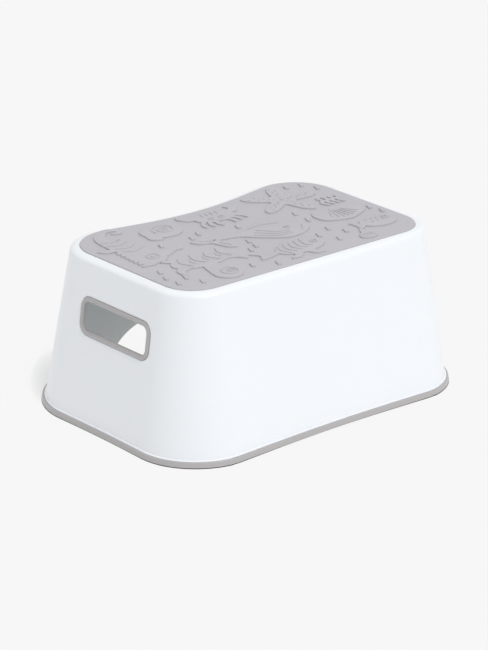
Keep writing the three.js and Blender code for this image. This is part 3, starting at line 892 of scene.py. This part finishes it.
# Painted light under the arch: how far the inside glow is turned up, rising with the foot's edge and fading
# to nothing further in.
painted_light_in = floor.data.attributes.new("painted_light_in", "FLOAT", "POINT")
painted_light_in.data.foreach_set("value", np.r_[open_edge, open_edge, open_edge, open_edge * 0])

# The same paper stands round the floor's far edge, so that low views have no horizon. Only the camera
# sees it: it gives no light and takes none away.
points, faces = skin([np.c_[far, np.full(COUNT, z)] for z in (0, BACKDROP_HEIGHT)], False)
backdrop = mesh_object("backdrop", points, faces[:COUNT])
for unseen_by in ("diffuse", "glossy", "transmission", "volume_scatter", "shadow"):
    setattr(backdrop, "visible_" + unseen_by, False)


def paper(obj, name, albedo, glow, tint=(1, 1, 1)):
    """Gives an object one more material: paper that reflects a share of the light and glows."""
    m = bpy.data.materials.new(name)
    m.use_nodes = True
    shader = m.node_tree.nodes["Principled BSDF"]
    shader.inputs["Base Color"].default_value = (albedo, albedo, albedo, 1)
    shader.inputs["Roughness"].default_value = 1.0
    shader.inputs["Specular IOR Level"].default_value = 0.0
    shader.inputs["Emission Color"].default_value = (*tint, 1)
    shader.inputs["Emission Strength"].default_value = glow
    obj.data.materials.append(m)
    return m.node_tree, shader


def blend(tree, factor, low, high, socket):
    """Feeds a socket a number that goes from low to high as the factor goes from 0 to 1."""
    between = tree.nodes.new("ShaderNodeMapRange")
    between.inputs["To Min"].default_value, between.inputs["To Max"].default_value = low, high
    tree.links.new(factor, between.inputs["Value"])
    tree.links.new(between.outputs["Result"], socket)


paper(backdrop, "far_paper", 0.0, WHITE_PAPER)
tree, shader = paper(floor, "paper_with_painted_shadow", FLOOR_ALBEDO, WHITE_PAPER - PAPER_LIGHT * FLOOR_ALBEDO)
# The painted shadow: an oval mask that turns the floor's reflection up and its glow down.
where = tree.nodes.new("ShaderNodeMapping")
where.vector_type = "TEXTURE"
where.inputs["Location"].default_value = (PAINTED_SHADOW["x"] * MM, PAINTED_SHADOW["y"] * MM, 0)
where.inputs["Rotation"].default_value = (0, 0, PAINTED_SHADOW["turn"])
where.inputs["Scale"].default_value = (PAINTED_SHADOW["across"] * MM, PAINTED_SHADOW["deep"] * MM, 1)
patch = tree.nodes.new("ShaderNodeTexGradient")
patch.gradient_type = "SPHERICAL"
tree.links.new(tree.nodes.new("ShaderNodeTexCoord").outputs["Object"], where.inputs["Vector"])
tree.links.new(where.outputs["Vector"], patch.inputs["Vector"])
shade = tree.nodes.new("ShaderNodeMath")
shade.operation = "POWER"
shade.inputs[1].default_value = PAINTED_SHADOW["hardness"]
tree.links.new(patch.outputs["Fac"], shade.inputs[0])
blend(tree, shade.outputs["Value"], FLOOR_ALBEDO, PAINTED_SHADOW_ALBEDO, shader.inputs["Base Color"])
blend(tree, shade.outputs["Value"], WHITE_PAPER - PAPER_LIGHT * FLOOR_ALBEDO,
      WHITE_PAPER - PAPER_LIGHT * PAINTED_SHADOW_ALBEDO, shader.inputs["Emission Strength"])
# A painted contact shadow: dark floor under the rim, where its edge stands on the floor.
paper(floor, "painted_contact_shadow_paper", 0.1, 0.0)
# Inside the stool the floor's glow is turned down and tinted, a painted shade; the attribute turns it up
# again, painted light coming in under the arch.
tree, shader = paper(floor, "inside_painted_shade_paper", INSIDE_PAINTED_SHADE_ALBEDO, INSIDE_PAINTED_SHADE_GLOW, INSIDE_PAINTED_SHADE_TINT)
painted_light_spill = tree.nodes.new("ShaderNodeAttribute")
painted_light_spill.attribute_name = "painted_light_in"
blend(tree, painted_light_spill.outputs["Fac"], INSIDE_PAINTED_SHADE_GLOW, WHITE_PAPER - PAPER_LIGHT * INSIDE_PAINTED_SHADE_ALBEDO,
      shader.inputs["Emission Strength"])
LIT, PAINTED_CONTACT_SHADOW, INSIDE_PAINTED_SHADE = range(3)
for k, polygon in enumerate(floor.data.polygons):
    under_rim = COUNT <= k < 2 * COUNT and edge[k % COUNT] < low_edge
    polygon.material_index = LIT if k < COUNT else PAINTED_CONTACT_SHADOW if under_rim else INSIDE_PAINTED_SHADE

world = bpy.data.worlds.new("studio")
bpy.context.scene.world = world
world.use_nodes = True
world.node_tree.nodes["Background"].inputs["Color"].default_value = (SKY, SKY, SKY, 1)


def sun(name, towards, strength, angle):
    """A soft light from a direction, as wide as an angle in degrees."""
    light = bpy.data.lights.new(name, "SUN")
    light.energy, light.angle = strength * math.pi, math.radians(angle)
    obj = bpy.data.objects.new(name, light)
    obj.rotation_mode = "QUATERNION"
    obj.rotation_quaternion = Vector(towards).to_track_quat("Z", "Y")
    bpy.context.scene.collection.objects.link(obj)


sun("key", (0.05, -0.64, 0.77), 0.375, 25)
sun("top", (0.10, 0.30, 0.95), 0.09, 60)

# focal: the focal length in pixels of an image this high; sensor: in millimetres.
CAMERA = dict(azimuth=-0.703, elevation=0.371, distance=2937.95, target=(-6.84, -9.21, 71.41),
              focal=2961.86, image_height=650, sensor=36)
camera = bpy.data.objects.new("camera", bpy.data.cameras.new("camera"))
bpy.context.scene.collection.objects.link(camera)
bpy.context.scene.camera = camera
az, el = CAMERA["azimuth"], CAMERA["elevation"]
back = Vector((math.sin(az) * math.cos(el), -math.cos(az) * math.cos(el), math.sin(el)))
camera.location = (Vector(CAMERA["target"]) + back * CAMERA["distance"]) * MM
camera.rotation_mode = "QUATERNION"
camera.rotation_quaternion = back.to_track_quat("Z", "Y")
camera.data.sensor_width = CAMERA["sensor"]
camera.data.lens = CAMERA["sensor"] * CAMERA["focal"] / CAMERA["image_height"]
camera.data.clip_start, camera.data.clip_end = 0.05, 100

bpy.context.scene.view_settings.view_transform = "Standard"
bpy.context.scene.view_settings.look = "None"
